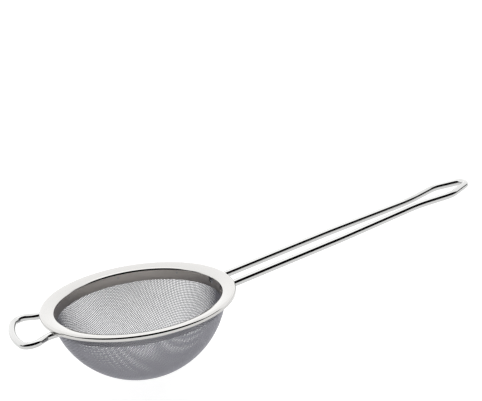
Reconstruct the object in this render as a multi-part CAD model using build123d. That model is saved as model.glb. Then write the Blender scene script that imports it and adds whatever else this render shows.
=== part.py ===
from build123d import *
from math import atan, cos, radians, sin, sqrt, tan
import os

# Tea strainer: a stamped steel rim with a woven wire bowl, a long wire handle that ends in a
# hanging eye, and a wire rest loop opposite the handle.
# Frame: the origin is the centre of the mouth, inside the collar's straight wall. +Z points up out
# of the bowl and +X runs along the handle. All sizes are in millimetres.
# The shapes are drawn with the rim's highest edge at height 0, and moved to the frame when saved.
origin_drop = 4.0         # from the rim's highest edge down to the frame's origin

# Rim: one stamped ring with a dished and slightly crowned flange, a turned-down outer lip and an
# inner collar.
opening_diameter = 79.4
flange_width = 6.8
rim_sheet = 0.5
rim_dish = 1.46           # the flange falls this far from its outer edge to its inner edge
flange_crown = 0.35       # its middle stands this far above a straight line across it
crown_bend = 16.0
outer_bend = 0.9          # bend radii, measured at the middle of the sheet
inner_bend = 1.1
lip_drop = 2.0            # lower edge of the lip, below the rim's highest edge
collar_drop = 7.4         # lower edge of the collar, below the rim's highest edge

# Bowl: woven wire cloth, modelled as a closed skin of the cloth's full thickness.
bowl_depth = 39.1
cloth_thickness = 0.5
cloth_gap = 0.03          # between the cloth and the sheet metal on each side of it
hem_clearance = 0.3       # between the collar's bend and the top edge of the cloth

# Retaining hoop: a flat band round the cloth, which presses it onto the collar.
hoop_sheet = 0.5
hoop_height = 1.5

# Spot welds: nuggets that fuse the collar, the cloth and the hoop.
spot_weld_count = 8
spot_weld_diameter = 1.1
spot_weld_dimple = 0.08   # how far the electrode mark sinks below the collar's face

# Handle: one round wire, bent into a hanging eye, with both ends welded under the flange.
handle_wire = 3.6
handle_rise = 9.4         # degrees above the rim plane
handle_length = 140.8     # from the rim's outer edge to the axis of the wire at the tip
handle_half_gap = 6.8     # from the handle's centre line to each rod's axis
taper_length = 81.5       # from the tip back to where the rods start to close in
neck_length = 32.5        # from the tip back to where the rods are closest
neck_half_gap = 4.6
shoulder_length = 13.5    # from the tip back to where the eye is widest
shoulder_half_gap = 8.45
tip_half_gap = 2.9
taper_bend = 150.0
neck_bend = 45.0
shoulder_bend = 11.0
tip_bend = 3.8

# Rest loop: one round wire, which hooks over the far side of a cup.
loop_wire = 3.3
loop_droop = 4.5          # degrees below the rim plane
loop_reach = 13.1         # from the rim's outer edge to the axis of the wire at the tip
loop_front_bend = 50.0
loop_front_turn = 15.5    # degrees of arc each side of the tip
loop_corner_bend = 5.0
loop_leg_turn = 34.0      # degrees by which each leg closes in towards the rim
loop_leg_length = 3.0
loop_neck_bend = 6.0

# Seats and welds of both wires under the flange.
seat_gap = 0.1            # between a wire and the sheet that it is welded to
wire_end_gap = 0.5        # between a wire's cut end and the hoop
notch_clearance = 0.1     # round each rod where it passes through the lip
weld_length = 2.4
weld_margin = 0.5         # how far a bead stands out past each side of its wire
weld_corner = 0.6

opening_radius = opening_diameter / 2
rim_radius = opening_radius + flange_width
collar_radius = opening_radius + rim_sheet
cloth_radius = collar_radius + cloth_gap + cloth_thickness
hoop_inner_radius = cloth_radius + cloth_gap
hoop_radius = hoop_inner_radius + hoop_sheet

# The flange's middle line runs between two corners, with the crown halfway. The outer corner
# stands high enough for the bend to top out at height 0.
collar_middle = opening_radius + rim_sheet / 2
lip_middle = rim_radius - rim_sheet / 2
crown_middle = (collar_middle + lip_middle) / 2
outer_slope = atan((rim_dish / 2 - flange_crown) / (lip_middle - crown_middle))
corner_height = outer_bend * (tan(outer_slope) + 1 / cos(outer_slope) - 1)
flange_outer_height = corner_height - rim_sheet / 2
flange_inner_height = flange_outer_height - rim_dish
crown_height = (flange_outer_height + flange_inner_height) / 2 + flange_crown
hem_top = flange_inner_height - inner_bend - hem_clearance
hoop_middle = hem_top - hoop_height / 2


def ring(inner_radius, outer_radius, bottom, top):
    """A plain ring about Z between two heights."""
    height = top - bottom
    body = Cylinder(outer_radius, height) - Cylinder(inner_radius, height)
    return Pos(0, 0, bottom + height / 2) * body


def swept_wire(path, diameter):
    """A round wire along a smooth path."""
    start = Plane(origin=path @ 0, z_dir=path % 0)
    return sweep(start * Circle(diameter / 2), path=path)


def sheet_crossing(half_gap):
    """How far in from the rim's edge a rod at this half gap meets the lip's inner face."""
    return rim_radius - sqrt((rim_radius - rim_sheet) ** 2 - half_gap**2)


def handle_plane():
    """The plane of the handle's wire: X runs outwards along the handle from the rim's edge."""
    rise = radians(handle_rise)
    drop = rim_sheet + seat_gap + handle_wire / 2
    return Plane(
        origin=(rim_radius, 0, -drop),
        x_dir=(cos(rise), 0, sin(rise)),
        z_dir=(-sin(rise), 0, cos(rise)),
    )


def loop_plane():
    """The plane of the rest loop: X runs outwards from the rim's edge, away from the handle."""
    droop = radians(loop_droop)
    rise_at_lip = sheet_crossing(loop_foot_half_gap) * tan(droop)
    drop = lip_drop + seat_gap + loop_wire / 2 + rise_at_lip
    return Plane(
        origin=(-rim_radius, 0, -drop),
        x_dir=(-cos(droop), 0, -sin(droop)),
        z_dir=(-sin(droop), 0, cos(droop)),
    )


def wire_end(half_gap, diameter):
    """How far a wire runs in under the flange from the rim's edge before it meets the hoop."""
    nearest_side = half_gap - diameter / 2
    end_radius = hoop_radius + wire_end_gap
    return rim_radius - sqrt(end_radius**2 - nearest_side**2)


def handle_path():
    """The handle wire's axis, from one welded end round the eye to the other."""
    side = [
        (-wire_end(handle_half_gap, handle_wire), handle_half_gap),
        (handle_length - taper_length, handle_half_gap),
        (handle_length - neck_length, neck_half_gap),
        (handle_length - shoulder_length, shoulder_half_gap),
        (handle_length, tip_half_gap),
    ]
    bends = [taper_bend, neck_bend, shoulder_bend, tip_bend]
    other_side = [(x, -y) for x, y in reversed(side)]
    outline = FilletPolyline(*side, *other_side, radius=bends + bends[::-1])
    return handle_plane() * outline


def loop_half():
    """Half of the rest loop's axis, flat in its own plane, from the tip to where it runs straight in."""
    front = JernArc((loop_reach, 0), (0, 1), loop_front_bend, loop_front_turn)
    corner = JernArc(front @ 1, front % 1, loop_corner_bend, 90 - loop_front_turn + loop_leg_turn)
    leg = Line(corner @ 1, (corner @ 1) + (corner % 1) * loop_leg_length)
    neck = JernArc(leg @ 1, leg % 1, loop_neck_bend, -loop_leg_turn)
    return [front, corner, leg, neck]


def loop_path():
    """The rest loop's axis, from one welded end round the tip to the other."""
    half = loop_half()
    foot_end = -wire_end(loop_foot_half_gap, loop_wire)
    half.append(Line(half[-1] @ 1, (foot_end, loop_foot_half_gap)))
    other_half = [edge.mirror(Plane.XZ) for edge in half]
    return loop_plane() * Wire(half + other_half)


def rod_notches():
    """The room that each rod needs where it passes through the lip."""
    reach = wire_end(handle_half_gap, handle_wire)
    bore = Cylinder(handle_wire / 2 + notch_clearance, 2 * reach, rotation=(0, 90, 0))
    return [handle_plane() * Pos(0, side * handle_half_gap, 0) * bore for side in (-1, 1)]


def rim_ring():
    """The stamped rim: collar, dished flange and lip, bent from one sheet."""
    middle_line = FilletPolyline(
        (collar_middle, -collar_drop),
        (collar_middle, flange_inner_height),
        (crown_middle, crown_height),
        (lip_middle, flange_outer_height),
        (lip_middle, -lip_drop),
        radius=[inner_bend, crown_bend, outer_bend],
    )
    section = Plane.XZ * trace(middle_line, rim_sheet)
    return revolve(section, Axis.Z) - rod_notches() - spot_weld_bores()


def mesh_bowl():
    """The wire cloth: a straight hem outside the collar, and a dome below it."""
    dome_height = bowl_depth - collar_drop
    dome_radius = (dome_height**2 + cloth_radius**2) / (2 * dome_height)
    centre = (0, 0, dome_radius - bowl_depth)
    dome = Pos(*centre) * (Sphere(dome_radius) - Sphere(dome_radius - cloth_thickness))
    below_collar = Pos(0, 0, -collar_drop - bowl_depth) * Box(2 * rim_radius, 2 * rim_radius, 2 * bowl_depth)
    hem = ring(cloth_radius - cloth_thickness, cloth_radius, -collar_drop, hem_top)
    return (dome & below_collar) + hem - spot_weld_bores()


def retaining_hoop():
    """The flat band that holds the cloth's hem against the collar."""
    band = ring(hoop_inner_radius, hoop_radius, hem_top - hoop_height, hem_top)
    return band - spot_weld_bores()


def spot_weld_places():
    """Places round the rim for the spot welds, each with X pointing outwards."""
    step = 360 / spot_weld_count
    return [Rot(0, 0, step * n) * Pos(0, 0, hoop_middle) for n in range(spot_weld_count)]


def spot_weld_rod(inner_radius, outer_radius):
    """Round plugs at every spot weld, between two radii."""
    length = outer_radius - inner_radius
    plug = Cylinder(spot_weld_diameter / 2, length, rotation=(0, 90, 0))
    return [place * Pos(inner_radius + length / 2, 0, 0) * plug for place in spot_weld_places()]


def spot_weld_bores():
    """The metal that each nugget takes up in the collar, the cloth and the hoop."""
    return spot_weld_rod(opening_radius - rim_sheet, hoop_radius + hoop_sheet)


def spot_welds():
    """The nuggets, dimpled inside the collar and flush with the hoop."""
    return Compound(spot_weld_rod(opening_radius + spot_weld_dimple, hoop_radius))


def handle():
    """The handle wire."""
    return swept_wire(handle_path(), handle_wire)


def rest_loop():
    """The rest loop wire."""
    return swept_wire(loop_path(), loop_wire)


def weld_beads(plane, half_gap, diameter, wire, rim):
    """Two beads that fill the room between a wire's ends and the flange above them."""
    reach = wire_end(half_gap, diameter)
    width = diameter + 2 * weld_margin
    middle = -reach + weld_length / 2
    beads = []
    for side in (-1, 1):
        outline = Pos(middle, side * half_gap) * RectangleRounded(weld_length, width, weld_corner)
        under_flange = plane * extrude(outline, rim_radius) - flange_room()
        beads.append(under_flange - wire - rim)
    return Compound([solid for bead in beads for solid in bead.solids()])


def flange_room():
    """Everything above the middle of the flange's sheet, between the collar and the lip."""
    top = rim_radius
    outline = Polyline(
        (0, flange_inner_height),
        (collar_middle, flange_inner_height),
        (crown_middle, crown_height),
        (lip_middle, flange_outer_height),
        (2 * rim_radius, flange_outer_height),
        (2 * rim_radius, top),
        (0, top),
        close=True,
    )
    return revolve(Plane.XZ * make_face(outline), Axis.Z)


def save(nodes):
    """Move each node to the frame and write it to its own file."""
    os.makedirs("parts", exist_ok=True)
    for name, shape in nodes.items():
        export_step(Pos(0, 0, origin_drop) * shape, f"parts/{name}.step")


loop_foot_half_gap = (loop_half()[-1] @ 1).Y
rim = rim_ring()
handle_body = handle()
loop_body = rest_loop()

save({
    "rim_ring": rim,
    "mesh_bowl": mesh_bowl(),
    "retaining_hoop": retaining_hoop(),
    "spot_welds": spot_welds(),
    "handle_wire": handle_body,
    "rest_loop_wire": loop_body,
    "handle_welds": weld_beads(handle_plane(), handle_half_gap, handle_wire, handle_body, rim),
    "rest_loop_welds": weld_beads(loop_plane(), loop_foot_half_gap, loop_wire, loop_body, rim),
})
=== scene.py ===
import math
import bpy
from mathutils import Matrix, Vector


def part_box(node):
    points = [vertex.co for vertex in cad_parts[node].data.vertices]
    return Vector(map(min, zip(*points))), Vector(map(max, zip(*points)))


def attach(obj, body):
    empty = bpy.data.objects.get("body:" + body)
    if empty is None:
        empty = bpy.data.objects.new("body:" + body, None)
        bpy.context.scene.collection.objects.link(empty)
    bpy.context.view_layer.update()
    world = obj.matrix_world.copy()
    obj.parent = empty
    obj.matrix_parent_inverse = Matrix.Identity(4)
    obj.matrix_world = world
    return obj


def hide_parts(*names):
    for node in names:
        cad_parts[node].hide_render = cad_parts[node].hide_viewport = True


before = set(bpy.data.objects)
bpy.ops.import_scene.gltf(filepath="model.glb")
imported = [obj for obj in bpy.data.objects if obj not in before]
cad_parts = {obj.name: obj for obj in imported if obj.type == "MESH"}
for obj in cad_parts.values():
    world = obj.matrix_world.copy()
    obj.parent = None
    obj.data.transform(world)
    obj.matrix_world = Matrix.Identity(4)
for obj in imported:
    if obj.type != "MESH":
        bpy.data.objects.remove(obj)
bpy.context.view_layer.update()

mm = 0.001

# Where things are, all read from the CAD nodes
rimLow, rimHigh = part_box("rim_ring")
clothLow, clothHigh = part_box("mesh_bowl")
rimTop = rimHigh.z        # highest edge of the rim
rimCentre = Vector((0, 0, rimTop))


# small helpers

def toLinear(hexColour):
    # sRGB hex to linear, with alpha
    values = [int(hexColour[i:i + 2], 16) / 255 for i in (1, 3, 5)]
    linear = [v / 12.92 if v <= 0.04045 else ((v + 0.055) / 1.055) ** 2.4 for v in values]
    return (*linear, 1)


def addNode(tree, kind, settings=None, values=None, links=None):
    # one node with its settings, its socket values and its incoming links
    node = tree.nodes.new(kind)
    for name, value in (settings or {}).items():
        setattr(node, name, value)
    for name, value in (values or {}).items():
        node.inputs[name].default_value = value
    for name, source in (links or {}).items():
        tree.links.new(source, node.inputs[name])
    return node


def startMaterial(name, colour, metallic):
    # an empty material with its shader, output and Object coordinates
    material = bpy.data.materials.new(name)
    material.use_nodes = True
    tree = material.node_tree
    tree.nodes.clear()
    shader = addNode(tree, "ShaderNodeBsdfPrincipled",
                     values={"Base Color": toLinear(colour), "Metallic": metallic})
    addNode(tree, "ShaderNodeOutputMaterial", links={"Surface": shader.outputs["BSDF"]})
    place = addNode(tree, "ShaderNodeTexCoord").outputs["Object"]
    return material, tree, shader, place


def deselectAll():
    if bpy.context.object and bpy.context.object.mode != "OBJECT":
        bpy.ops.object.mode_set(mode="OBJECT")
    bpy.ops.object.select_all(action="DESELECT")


# Camera: looks at the rim from in front and above, and is rolled a little
camera = {
    "distance": 420 * mm,     # from the rim's centre
    "elevation": 21.03,       # degrees above the rim
    "turn": 13.02,            # degrees round from the front
    "roll": -8.18,
    "aimRight": 6.70,         # degrees by which the view turns away from the rim's centre
    "aimUp": 6.20,
    "lens": 65.34,
    "sensor": 36,
    "clip": (0.01, 100),
}


def makeCamera(s):
    turn, rise, roll = (math.radians(s[k]) for k in ("turn", "elevation", "roll"))
    level = Vector((math.sin(turn), math.cos(turn), 0))
    forward = level * math.cos(rise) - Vector((0, 0, math.sin(rise)))
    right = Vector((math.cos(turn), -math.sin(turn), 0))
    up = right.cross(forward)
    rolledRight = right * math.cos(roll) + up * math.sin(roll)
    rolledUp = up * math.cos(roll) - right * math.sin(roll)
    # the rim's centre sits left of and below the middle of the view
    aim = Vector((-math.tan(math.radians(s["aimRight"])), -math.tan(math.radians(s["aimUp"])), 1))
    swing = Vector((0, 0, 1)).rotation_difference(aim).to_matrix()
    rows = swing @ Matrix((rolledRight, rolledUp, forward))
    basis = Matrix((rows[0], rows[1], -rows[2])).transposed()
    data = bpy.data.cameras.new("camera")
    data.lens = s["lens"]
    data.sensor_width = s["sensor"]
    data.clip_start, data.clip_end = s["clip"]
    eye = bpy.data.objects.new("camera", data)
    bpy.context.collection.objects.link(eye)
    eye.matrix_world = Matrix.Translation(rimCentre - forward * s["distance"]) @ basis.to_4x4()
    bpy.context.scene.camera = eye


makeCamera(camera)
print("camera made")

# Studio: a pale table in a bright room, darker low down behind the camera
studio = {
    "room": "#FFFFFF",
    "roomStrength": 1.5,
    "dark": "#060606",         # the unlit side, which gives polished steel its black lines
    "darkSide": (0.12, 0.26),  # it starts between these cosines from the camera's side
    "bandSide": (-0.30, -0.05),  # low down it reaches further round, between these cosines
    "bandRise": (0.03, 0.09),  # and lies between these heights of the view direction
    "bandFall": (0.32, 0.46),
    "floor": "#A6A6A6",
    "floorGlow": 0.84,         # a lit table top, so the object hardly casts a shadow on it
    "floorMottle": 33 * mm,
    "floorRough": (0.75, 0.85),
    "floorRadius": 14.0,
    "floorGap": 0.2 * mm,      # below the bowl
    "softBoxSize": 0.9,
    "softBoxPlace": (0.05, 0.15, 1.0),
    "softBoxPower": 1.0,
}


def makeRoom(s):
    world = bpy.data.worlds.new("room")
    bpy.context.scene.world = world
    world.use_nodes = True
    tree = world.node_tree
    tree.nodes.clear()
    direction = addNode(tree, "ShaderNodeTexCoord").outputs["Generated"]
    turn = math.radians(camera["turn"])
    front = (-math.sin(turn), -math.cos(turn), 0)
    side = addNode(tree, "ShaderNodeVectorMath", {"operation": "DOT_PRODUCT"}, {1: front}, {0: direction})
    height = addNode(tree, "ShaderNodeSeparateXYZ", links={"Vector": direction})
    smooth = {"interpolation_type": "SMOOTHSTEP"}
    inFront = addNode(tree, "ShaderNodeMapRange", smooth,
                      {"From Min": s["darkSide"][0], "From Max": s["darkSide"][1]},
                      {"Value": side.outputs["Value"]})
    around = addNode(tree, "ShaderNodeMapRange", smooth,
                     {"From Min": s["bandSide"][0], "From Max": s["bandSide"][1]},
                     {"Value": side.outputs["Value"]})
    above = addNode(tree, "ShaderNodeMapRange", smooth,
                    {"From Min": s["bandRise"][0], "From Max": s["bandRise"][1]},
                    {"Value": height.outputs["Z"]})
    below = addNode(tree, "ShaderNodeMapRange", smooth,
                    {"From Min": s["bandFall"][1], "From Max": s["bandFall"][0]},
                    {"Value": height.outputs["Z"]})
    low = addNode(tree, "ShaderNodeMath", {"operation": "MULTIPLY"},
                  links={0: above.outputs["Result"], 1: below.outputs["Result"]})
    band = addNode(tree, "ShaderNodeMath", {"operation": "MULTIPLY"},
                   links={0: around.outputs["Result"], 1: low.outputs["Value"]})
    unlit = addNode(tree, "ShaderNodeMath", {"operation": "MAXIMUM"},
                    links={0: inFront.outputs["Result"], 1: band.outputs["Value"]})
    colour = addNode(tree, "ShaderNodeMix", {"data_type": "RGBA"},
                     {"A": toLinear(s["room"]), "B": toLinear(s["dark"])},
                     {"Factor": unlit.outputs["Value"]})
    lit = addNode(tree, "ShaderNodeBackground", values={"Strength": s["roomStrength"]},
                  links={"Color": colour.outputs["Result"]})
    plain = addNode(tree, "ShaderNodeBackground", values={"Color": toLinear(s["room"]), "Strength": 1.0})
    seen = addNode(tree, "ShaderNodeLightPath").outputs["Is Camera Ray"]
    both = addNode(tree, "ShaderNodeMixShader", links={0: seen, 1: lit.outputs[0], 2: plain.outputs[0]})
    addNode(tree, "ShaderNodeOutputWorld", links={"Surface": both.outputs[0]})


def makeFloor(s):
    # matt white laminate: an even pale surface with a very faint mottle
    deselectAll()
    bpy.ops.mesh.primitive_circle_add(vertices=128, radius=s["floorRadius"], fill_type="NGON",
                                      location=(0, 0, clothLow.z - s["floorGap"]))
    floor = bpy.context.object
    floor.name = "floor"
    bpy.ops.object.transform_apply(location=True)
    material, tree, shader, place = startMaterial("matt white laminate", s["floor"], 0.0)
    mottle = addNode(tree, "ShaderNodeTexNoise", values={"Scale": 1 / s["floorMottle"], "Detail": 3.0},
                     links={"Vector": place})
    rough = addNode(tree, "ShaderNodeMapRange",
                    values={"To Min": s["floorRough"][0], "To Max": s["floorRough"][1]},
                    links={"Value": mottle.outputs["Fac"]})
    tree.links.new(rough.outputs["Result"], shader.inputs["Roughness"])
    shader.inputs["Emission Color"].default_value = toLinear(s["room"])
    shader.inputs["Emission Strength"].default_value = s["floorGlow"]
    shader.inputs["Specular IOR Level"].default_value = 0.0
    floor.data.materials.append(material)


def makeSoftBox(s):
    data = bpy.data.lights.new("soft box", "AREA")
    data.size = s["softBoxSize"]
    data.energy = s["softBoxPower"]
    box = bpy.data.objects.new("soft box", data)
    box.location = s["softBoxPlace"]
    bpy.context.collection.objects.link(box)


makeRoom(studio)
makeFloor(studio)
makeSoftBox(studio)
bpy.context.scene.view_settings.view_transform = "Standard"
print("studio made")

# Wire cloth: plain weave, two sets of wires that pass over and under each other
cloth = {
    # the real cloth is finer, about 0.5 mm from wire to wire, and is drawn coarse enough to show
    "pitch": 0.85 * mm,        # from one wire to the next
    "wire": 0.31 * mm,         # diameter
    "crimp": 0.25,             # lift of a wire at each crossing, in diameters
    "turn": 40.0,              # degrees from the handle to the warp
    "thickness": 0.5 * mm,     # of the CAD skin
    "hemRoom": 0.56 * mm,      # between the collar and the hoop, where the cloth is pressed flat
    "reach": 1.7,              # half the flat cloth's width, in sphere radii, with some to spare
    "spare": 0.2,              # wires further out than this are waste from the flat cloth
}


def clothNet(s):
    # Where each crossing lies once the flat cloth is pressed into the bowl: the wires keep their
    # length and the cells skew, so each new crossing mirrors its opposite corner in the plane of
    # the other two.
    collarLow = rimLow.z
    depth = collarLow - clothLow.z
    outer = (depth ** 2 + clothHigh.x ** 2) / (2 * depth)
    radius = outer - s["thickness"] / 2
    centre = Vector((0, 0, clothLow.z + outer))
    hemRadius = clothHigh.x - s["thickness"] / 2
    step = s["pitch"] / radius
    count = int(s["reach"] / step)
    top = (clothHigh.z - centre.z) / radius
    crossings = {}
    for i in range(-count, count + 1):
        across, down = math.sin(i * step), -math.cos(i * step)
        crossings[i, 0] = Vector((across, 0, down))
        crossings[0, i] = Vector((0, across, down))
    for sideX in (1, -1):
        for sideY in (1, -1):
            for i in range(count):
                for j in range(count):
                    near = crossings.get((sideX * i, sideY * j))
                    one = crossings.get((sideX * (i + 1), sideY * j))
                    two = crossings.get((sideX * i, sideY * (j + 1)))
                    if None in (near, one, two) or near.z > top:
                        continue
                    normal = one.cross(two)
                    if normal.length < 1e-9:
                        continue
                    normal.normalize()
                    crossings[sideX * (i + 1), sideY * (j + 1)] = near - 2 * near.dot(normal) * normal
    turned = Matrix.Rotation(math.radians(s["turn"]), 3, "Z")
    placed = {}
    for key, unit in crossings.items():
        unit = turned @ unit
        spot = centre + unit * radius
        if spot.z > clothHigh.z:
            continue
        outward = unit.copy()
        flat = Vector((spot.x, spot.y, 0))
        if spot.z > collarLow:        # the hem runs straight up outside the collar
            outward = flat.normalized()
            spot = outward * hemRadius + Vector((0, 0, spot.z))
        placed[key] = (spot, outward)
    return placed, count


def weaveWires(name, s, net, count, alongX, material):
    # a grid with one line of edges for each wire, formed to the bowl, then thickened to round wire
    deselectAll()
    cells = 2 * count
    bpy.ops.mesh.primitive_grid_add(x_subdivisions=cells, y_subdivisions=cells, size=cells)
    wires = bpy.context.object
    wires.name = name
    mesh = wires.data
    places = [(round(v.co.x), round(v.co.y)) for v in mesh.vertices]
    bpy.context.tool_settings.mesh_select_mode = (False, True, False)
    bpy.ops.object.mode_set(mode="EDIT")
    bpy.ops.mesh.select_all(action="SELECT")
    bpy.ops.mesh.delete(type="ONLY_FACE")
    bpy.ops.mesh.select_all(action="DESELECT")
    bpy.ops.object.mode_set(mode="OBJECT")
    lift = s["wire"] * s["crimp"]
    hemLift = (s["hemRoom"] - s["wire"]) / 2
    for vertex, place in zip(mesh.vertices, places):
        if place in net:
            spot, outward = net[place]
            over = 1 if (place[0] + place[1]) % 2 == 0 else -1
            height = hemLift if spot.z > rimLow.z else lift
            vertex.co = spot + outward * (height if alongX else -height) * over
    for edge in mesh.edges:
        a, b = (places[v] for v in edge.vertices)
        edge.select = (a[1] != b[1]) == alongX
    bpy.ops.object.mode_set(mode="EDIT")
    bpy.ops.mesh.delete(type="EDGE")
    bpy.ops.object.mode_set(mode="OBJECT")
    bpy.context.tool_settings.mesh_select_mode = (True, False, False)
    # crossings beyond the hem's edge were never moved, so they still lie metres away or at the origin
    for vertex in mesh.vertices:
        vertex.select = vertex.co.length > s["spare"] or vertex.co.length < mm / 1000
    bpy.ops.object.mode_set(mode="EDIT")
    bpy.ops.mesh.delete(type="VERT")
    bpy.ops.object.mode_set(mode="OBJECT")
    bpy.ops.object.convert(target="CURVE")
    curve = bpy.context.object.data
    curve.dimensions = "3D"
    curve.bevel_depth = s["wire"] / 2
    curve.bevel_resolution = 1
    curve.use_fill_caps = True
    bpy.ops.object.convert(target="MESH")
    wires = bpy.context.object
    bpy.ops.object.shade_smooth()
    wires.data.materials.clear()
    wires.data.materials.append(material)
    print(name, "has", sum(len(p.vertices) - 2 for p in wires.data.polygons), "triangles")
    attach(wires, "root")
    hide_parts("mesh_bowl")


# Rim: one sheet of steel, pressed to a collar, a crowned flange and a turned-down lip
rim = {
    "sheet": 0.5 * mm,
    "mouth": 39.7 * mm,        # radius inside the collar
    "dish": 1.46 * mm,         # the flange falls this far towards the mouth
    "crown": 0.35 * mm,        # its middle stands this far above a straight line
    "lip": 2.0 * mm,           # lower edge of the lip, below the rim's highest edge
    "outerBend": (0.9 * mm, 14),  # radius at the middle of the sheet, and steps round the bend
    "crownBend": (16.0 * mm, 8),
    "innerBend": (1.1 * mm, 14),
    "edge": (0.05 * mm, 2),    # deburring of the cut edges: width and steps
    "turns": 320,              # steps round the ring
    "rodGap": 6.8 * mm,        # from the handle's centre line to each rod
    "rodDrop": 2.4 * mm,       # from the rim's highest edge down to the rods, at the lip
    "rodRise": 9.4,            # degrees
    "rodRoom": 1.9 * mm,       # radius of the notch that each rod passes through
    "rodCut": 16 * mm,         # length of the tool that cuts it
    "spotWeld": 0.55 * mm,     # radius
    "spotWelds": 8,
    "weldCut": 2 * mm,         # length of the tool that cuts each weld's bore
}


def bend(before, corner, after, radius, steps):
    # points round a rounded corner of a line in the section's plane
    back = (before - corner).normalized()
    ahead = (after - corner).normalized()
    half = back.angle(ahead) / 2
    centre = corner + (back + ahead).normalized() * radius / math.sin(half)
    start = corner + back * radius / math.tan(half) - centre
    turn = start.angle_signed(corner + ahead * radius / math.tan(half) - centre)
    points = []
    for n in range(steps + 1):
        spin = Matrix.Rotation(-turn * n / steps, 2)
        points.append((centre + spin @ start, (spin @ start).normalized()))
    return points


def rimSection(s):
    # outline of the sheet's section, as radius and height
    inner = s["mouth"] + s["sheet"] / 2
    outer = rimHigh.x - s["sheet"] / 2
    slope = math.atan((s["dish"] / 2 - s["crown"]) / ((outer - inner) / 2))
    corner = s["outerBend"][0] * (math.tan(slope) + 1 / math.cos(slope) - 1)
    outerHeight = rimTop + corner - s["sheet"] / 2
    innerHeight = outerHeight - s["dish"]
    line = [
        Vector((inner, rimLow.z)),
        Vector((inner, innerHeight)),
        Vector(((inner + outer) / 2, (outerHeight + innerHeight) / 2 + s["crown"])),
        Vector((outer, outerHeight)),
        Vector((outer, rimTop - s["lip"])),
    ]
    upper, lower = [], []
    for n, key in enumerate(("innerBend", "crownBend", "outerBend")):
        for point, outward in bend(line[n], line[n + 1], line[n + 2], *s[key]):
            upper.append(point + outward * s["sheet"] / 2)
            lower.append(point - outward * s["sheet"] / 2)
    half = Vector((s["sheet"] / 2, 0))
    upper = [line[0] - half, *upper, line[4] + half]
    lower = [line[0] + half, *lower, line[4] - half]
    return upper + lower[::-1]


def rimCutters(s):
    # rods through the lip and spot welds through the collar, joined as one tool
    deselectAll()
    rise = math.radians(s["rodRise"])
    tools = []
    for side in (-1, 1):
        bpy.ops.mesh.primitive_cylinder_add(vertices=64, radius=s["rodRoom"], depth=s["rodCut"],
                                            location=(rimHigh.x, side * s["rodGap"], rimTop - s["rodDrop"]),
                                            rotation=(0, math.pi / 2 - rise, 0))
        tools.append(bpy.context.object)
    weldLow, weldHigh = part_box("spot_welds")
    reach = s["mouth"] + s["sheet"] / 2
    for n in range(s["spotWelds"]):
        around = 2 * math.pi * n / s["spotWelds"]
        bpy.ops.mesh.primitive_cylinder_add(vertices=32, radius=s["spotWeld"], depth=s["weldCut"],
                                            location=(math.cos(around) * reach, math.sin(around) * reach,
                                                      (weldLow.z + weldHigh.z) / 2),
                                            rotation=(0, math.pi / 2, around))
        tools.append(bpy.context.object)
    deselectAll()
    for tool in tools:
        tool.select_set(True)
    bpy.context.view_layer.objects.active = tools[0]
    bpy.ops.object.join()
    return bpy.context.object


def spinRim(s, material):
    # the section's outline is laid out from a circle's points, then spun round the bowl's axis
    section = rimSection(s)
    deselectAll()
    bpy.ops.mesh.primitive_circle_add(vertices=len(section), radius=0.01)
    ring = bpy.context.object
    ring.name = "rim"
    for vertex, point in zip(ring.data.vertices, section):
        vertex.co = (point.x, 0, point.y)
    bpy.ops.object.mode_set(mode="EDIT")
    bpy.ops.mesh.select_all(action="SELECT")
    bpy.ops.mesh.spin(steps=s["turns"], angle=2 * math.pi, center=(0, 0, 0), axis=(0, 0, 1))
    bpy.ops.mesh.select_all(action="SELECT")
    bpy.ops.mesh.remove_doubles(threshold=0.002 * mm)
    bpy.ops.mesh.normals_make_consistent(inside=False)
    bpy.ops.object.mode_set(mode="OBJECT")
    deburr = ring.modifiers.new("deburred edges", "BEVEL")
    deburr.width, deburr.segments = s["edge"]
    deburr.angle_limit = math.radians(60)
    bpy.ops.object.modifier_apply(modifier=deburr.name)
    tool = rimCutters(s)
    deselectAll()
    ring.select_set(True)
    bpy.context.view_layer.objects.active = ring
    notches = ring.modifiers.new("notches and welds", "BOOLEAN")
    notches.operation = "DIFFERENCE"
    notches.solver = "EXACT"
    notches.object = tool
    bpy.ops.object.modifier_apply(modifier=notches.name)
    bpy.ops.object.shade_smooth_by_angle(angle=math.radians(35))
    bpy.data.objects.remove(tool)
    ring.data.materials.clear()
    ring.data.materials.append(material)
    print("rim has", sum(len(p.vertices) - 2 for p in ring.data.polygons), "triangles")
    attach(ring, "root")
    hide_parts("rim_ring")


# Stainless wire cloth, drawn and woven: satin wires with a cool cast, each a little different
wovenFinish = {
    "dark": "#8E8E94",
    "light": "#9C9CA3",
    "patch": 4.5 * mm,         # the tone drifts over this length
    "rough": (0.28, 0.40),
}


def wovenSteel(s):
    material, tree, shader, place = startMaterial("woven stainless wire", s["light"], 1.0)
    patch = addNode(tree, "ShaderNodeTexNoise", values={"Scale": 1 / s["patch"], "Detail": 2.0},
                    links={"Vector": place})
    rough = addNode(tree, "ShaderNodeMapRange", values={"To Min": s["rough"][0], "To Max": s["rough"][1]},
                    links={"Value": patch.outputs["Fac"]})
    tint = addNode(tree, "ShaderNodeMix", {"data_type": "RGBA"},
                   {"A": toLinear(s["dark"]), "B": toLinear(s["light"])}, {"Factor": patch.outputs["Fac"]})
    tree.links.new(rough.outputs["Result"], shader.inputs["Roughness"])
    tree.links.new(tint.outputs["Result"], shader.inputs["Base Color"])
    return material


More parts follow.
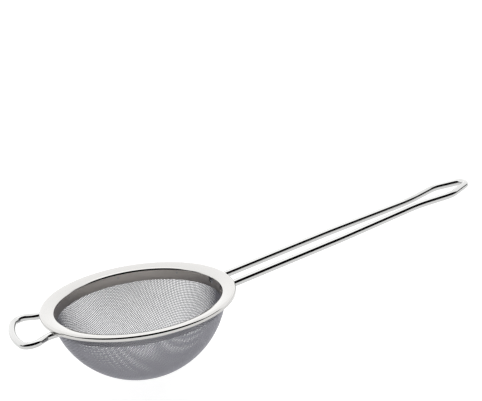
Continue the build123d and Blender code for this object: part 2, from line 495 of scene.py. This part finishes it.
# Stamped stainless sheet, buffed to a mirror on the flange and lip and left satin inside the
# collar: clean reflections outside, a soft warm grey inside
sheetFinish = {
    "mirror": "#C1C0BE",
    "satin": "#BDB7B1",
    "wave": 11 * mm,           # buffing leaves the mirror faintly uneven over this length
    "mirrorRough": (0.05, 0.10),
    "lineLength": 6.7 * mm,    # satin lines round the collar
    "lineSpacing": 0.2 * mm,   # really about 0.03 mm, drawn coarse enough to show
    "satinRough": (0.28, 0.42),
    "satinTop": (2.1 * mm, 2.35 * mm),  # below the rim's highest edge, where the satin starts
    "satinSide": (0.7, 0.5),   # it ends between these shares of the sheet's thickness
    "bump": 0.02 * mm,
    "bumpStrength": 0.3,
}


def polishedSheet(s):
    material, tree, shader, place = startMaterial("mirror polished stainless sheet", s["mirror"], 1.0)
    height = addNode(tree, "ShaderNodeSeparateXYZ", links={"Vector": place})
    low = addNode(tree, "ShaderNodeMapRange", {"interpolation_type": "SMOOTHSTEP"},
                  {"From Min": rimTop - s["satinTop"][0], "From Max": rimTop - s["satinTop"][1]},
                  {"Value": height.outputs["Z"]})
    flat = addNode(tree, "ShaderNodeVectorMath", {"operation": "MULTIPLY"}, {1: (1, 1, 0)}, {0: place})
    radius = addNode(tree, "ShaderNodeVectorMath", {"operation": "LENGTH"},
                     links={0: flat.outputs["Vector"]})
    inside = addNode(tree, "ShaderNodeMapRange",
                     values={"From Min": rim["mouth"] + rim["sheet"] * s["satinSide"][0],
                             "From Max": rim["mouth"] + rim["sheet"] * s["satinSide"][1]},
                     links={"Value": radius.outputs["Value"]})
    collar = addNode(tree, "ShaderNodeMath", {"operation": "MULTIPLY"},
                     links={0: low.outputs["Result"], 1: inside.outputs["Result"]})
    hand = addNode(tree, "ShaderNodeTexNoise", values={"Scale": 1 / s["wave"], "Detail": 3.0},
                   links={"Vector": place})
    mirror = addNode(tree, "ShaderNodeMapRange",
                     values={"To Min": s["mirrorRough"][0], "To Max": s["mirrorRough"][1]},
                     links={"Value": hand.outputs["Fac"]})
    stretch = (1 / s["lineLength"], 1 / s["lineLength"], 1 / s["lineSpacing"])
    squashed = addNode(tree, "ShaderNodeVectorMath", {"operation": "MULTIPLY"}, {1: stretch}, {0: place})
    lines = addNode(tree, "ShaderNodeTexNoise", values={"Scale": 1.0, "Detail": 4.0},
                    links={"Vector": squashed.outputs["Vector"]})
    satin = addNode(tree, "ShaderNodeMapRange",
                    values={"To Min": s["satinRough"][0], "To Max": s["satinRough"][1]},
                    links={"Value": lines.outputs["Fac"]})
    rough = addNode(tree, "ShaderNodeMix", {"data_type": "FLOAT"},
                    links={"Factor": collar.outputs["Value"], "A": mirror.outputs["Result"],
                           "B": satin.outputs["Result"]})
    tint = addNode(tree, "ShaderNodeMix", {"data_type": "RGBA"},
                   {"A": toLinear(s["mirror"]), "B": toLinear(s["satin"])},
                   {"Factor": collar.outputs["Value"]})
    depth = addNode(tree, "ShaderNodeMath", {"operation": "MULTIPLY"},
                    links={0: collar.outputs["Value"], 1: lines.outputs["Fac"]})
    bump = addNode(tree, "ShaderNodeBump", values={"Strength": s["bumpStrength"], "Distance": s["bump"]},
                   links={"Height": depth.outputs["Value"]})
    tree.links.new(rough.outputs["Result"], shader.inputs["Roughness"])
    tree.links.new(tint.outputs["Result"], shader.inputs["Base Color"])
    tree.links.new(bump.outputs["Normal"], shader.inputs["Normal"])
    return material


# Electropolished round wire: bright, with faint drawing lines along its length
wireFinish = {
    "colour": "#C0C0BF",
    "lineLength": 16 * mm,
    "lineSpacing": 0.4 * mm,   # really a few hundredths, drawn coarse enough to show
    "rough": (0.05, 0.13),
    "bump": 0.01 * mm,
    "bumpStrength": 0.1,
}


def polishedWire(s):
    material, tree, shader, place = startMaterial("electropolished stainless wire", s["colour"], 1.0)
    stretch = (1 / s["lineLength"], 1 / s["lineSpacing"], 1 / s["lineSpacing"])
    stretched = addNode(tree, "ShaderNodeVectorMath", {"operation": "MULTIPLY"}, {1: stretch}, {0: place})
    lines = addNode(tree, "ShaderNodeTexNoise", values={"Scale": 1.0, "Detail": 3.0},
                    links={"Vector": stretched.outputs["Vector"]})
    rough = addNode(tree, "ShaderNodeMapRange", values={"To Min": s["rough"][0], "To Max": s["rough"][1]},
                    links={"Value": lines.outputs["Fac"]})
    bump = addNode(tree, "ShaderNodeBump", values={"Strength": s["bumpStrength"], "Distance": s["bump"]},
                   links={"Height": lines.outputs["Fac"]})
    tree.links.new(rough.outputs["Result"], shader.inputs["Roughness"])
    tree.links.new(bump.outputs["Normal"], shader.inputs["Normal"])
    return material


# Cold-rolled stainless strip: grey and half matt, with rolling lines round the hoop
stripFinish = {
    "colour": "#A9A9A8",
    "lineLength": 8 * mm,
    "lineSpacing": 0.25 * mm,  # really finer, drawn coarse enough to show
    "rough": (0.30, 0.48),
    "bump": 0.02 * mm,
    "bumpStrength": 0.25,
}


def plainStrip(s):
    material, tree, shader, place = startMaterial("cold rolled stainless strip", s["colour"], 1.0)
    stretch = (1 / s["lineLength"], 1 / s["lineLength"], 1 / s["lineSpacing"])
    squashed = addNode(tree, "ShaderNodeVectorMath", {"operation": "MULTIPLY"}, {1: stretch}, {0: place})
    lines = addNode(tree, "ShaderNodeTexNoise", values={"Scale": 1.0, "Detail": 4.0},
                    links={"Vector": squashed.outputs["Vector"]})
    rough = addNode(tree, "ShaderNodeMapRange", values={"To Min": s["rough"][0], "To Max": s["rough"][1]},
                    links={"Value": lines.outputs["Fac"]})
    bump = addNode(tree, "ShaderNodeBump", values={"Strength": s["bumpStrength"], "Distance": s["bump"]},
                   links={"Height": lines.outputs["Fac"]})
    tree.links.new(rough.outputs["Result"], shader.inputs["Roughness"])
    tree.links.new(bump.outputs["Normal"], shader.inputs["Normal"])
    return material


# Cleaned stainless weld: rippled and dull, with a trace of straw and blue heat tint
weldFinish = {
    "straw": "#8E857A",
    "blue": "#8A8D93",
    "heat": 2.2 * mm,          # width of a patch of tint
    "ripple": 0.45 * mm,
    "rough": (0.38, 0.58),
    "bump": 0.06 * mm,
    "bumpStrength": 0.5,
}


def weldMetal(s):
    material, tree, shader, place = startMaterial("cleaned stainless weld", s["straw"], 1.0)
    heat = addNode(tree, "ShaderNodeTexNoise", values={"Scale": 1 / s["heat"], "Detail": 2.0},
                   links={"Vector": place})
    tint = addNode(tree, "ShaderNodeMix", {"data_type": "RGBA"},
                   {"A": toLinear(s["straw"]), "B": toLinear(s["blue"])}, {"Factor": heat.outputs["Fac"]})
    ripple = addNode(tree, "ShaderNodeTexNoise", values={"Scale": 1 / s["ripple"], "Detail": 3.0},
                     links={"Vector": place})
    rough = addNode(tree, "ShaderNodeMapRange", values={"To Min": s["rough"][0], "To Max": s["rough"][1]},
                    links={"Value": ripple.outputs["Fac"]})
    bump = addNode(tree, "ShaderNodeBump", values={"Strength": s["bumpStrength"], "Distance": s["bump"]},
                   links={"Height": ripple.outputs["Fac"]})
    tree.links.new(tint.outputs["Result"], shader.inputs["Base Color"])
    tree.links.new(rough.outputs["Result"], shader.inputs["Roughness"])
    tree.links.new(bump.outputs["Normal"], shader.inputs["Normal"])
    return material


net, wireCount = clothNet(cloth)
wireSteel = wovenSteel(wovenFinish)
weaveWires("cloth_warp", cloth, net, wireCount, True, wireSteel)
weaveWires("cloth_weft", cloth, net, wireCount, False, wireSteel)
print("cloth woven")

sheetSteel = polishedSheet(sheetFinish)
spinRim(rim, sheetSteel)
print("rim pressed")

finishes = {
    "rim_ring": sheetSteel,
    "handle_wire": polishedWire(wireFinish),
    "retaining_hoop": plainStrip(stripFinish),
    "handle_welds": weldMetal(weldFinish),
}
finishes["rest_loop_wire"] = finishes["handle_wire"]
finishes["spot_welds"] = finishes["retaining_hoop"]
finishes["rest_loop_welds"] = finishes["handle_welds"]
for name, material in finishes.items():
    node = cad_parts[name]
    for slot in node.material_slots:
        slot.material = material
print("finishes assigned")
